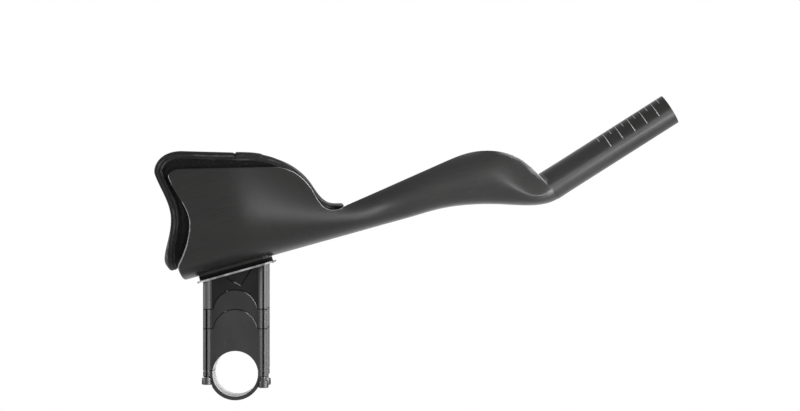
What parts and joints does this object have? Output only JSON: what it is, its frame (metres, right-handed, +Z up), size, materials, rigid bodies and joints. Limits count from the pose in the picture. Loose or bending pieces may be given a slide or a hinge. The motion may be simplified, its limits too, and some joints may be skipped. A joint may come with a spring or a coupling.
{
  "type": "aero handlebar extension",
  "caption": "Moulded carbon forearm cup, beam and hand tube on a stacked riser that clamps a road handlebar, with a soft liner pad in the cup.",
  "frame": {"origin": "centre of the handlebar seat in the clamp", "axes": "+X forward along the hand tube's side, +Y along the handlebar, +Z up the riser"},
  "size_m": [0.3662, 0.094, 0.2139],
  "materials": {
    "carbon_shell": "satin carbon fibre under a clear coat",
    "pad_fabric": "black knitted fabric with a smooth bound edge",
    "hook_tape": "woven hook tape",
    "gasket_rubber": "matt black",
    "bare_alloy": "bead blasted",
    "black_anodised": "black anodised alloy, matt",
    "black_steel": "black oxide"
  },
  "bodies": {
    "root": {"clamp_body": "black_anodised", "clamp_bolt_front_far": "black_steel", "clamp_bolt_front_near": "black_steel", "clamp_bolt_rear_far": "black_steel", "clamp_bolt_rear_near": "black_steel", "clamp_strap": "black_anodised", "clamp_washer_front_far": "black_steel", "clamp_washer_front_near": "black_steel", "clamp_washer_rear_far": "black_steel", "clamp_washer_rear_near": "black_steel", "extension_shell": "carbon_shell", "forearm_pad": "pad_fabric", "hook_strip_front": "hook_tape", "hook_strip_rear": "hook_tape", "riser_head": "black_anodised", "riser_spacer": "black_anodised", "seat_bolt_front_far": "black_steel", "seat_bolt_front_near": "black_steel", "seat_bolt_rear_far": "black_steel", "seat_bolt_rear_near": "black_steel", "seat_gasket": "gasket_rubber", "seat_washer_front_far": "black_steel", "seat_washer_front_near": "black_steel", "seat_washer_rear_far": "black_steel", "seat_washer_rear_near": "black_steel", "tilt_plate": "bare_alloy"}
  },
  "joints": []
}
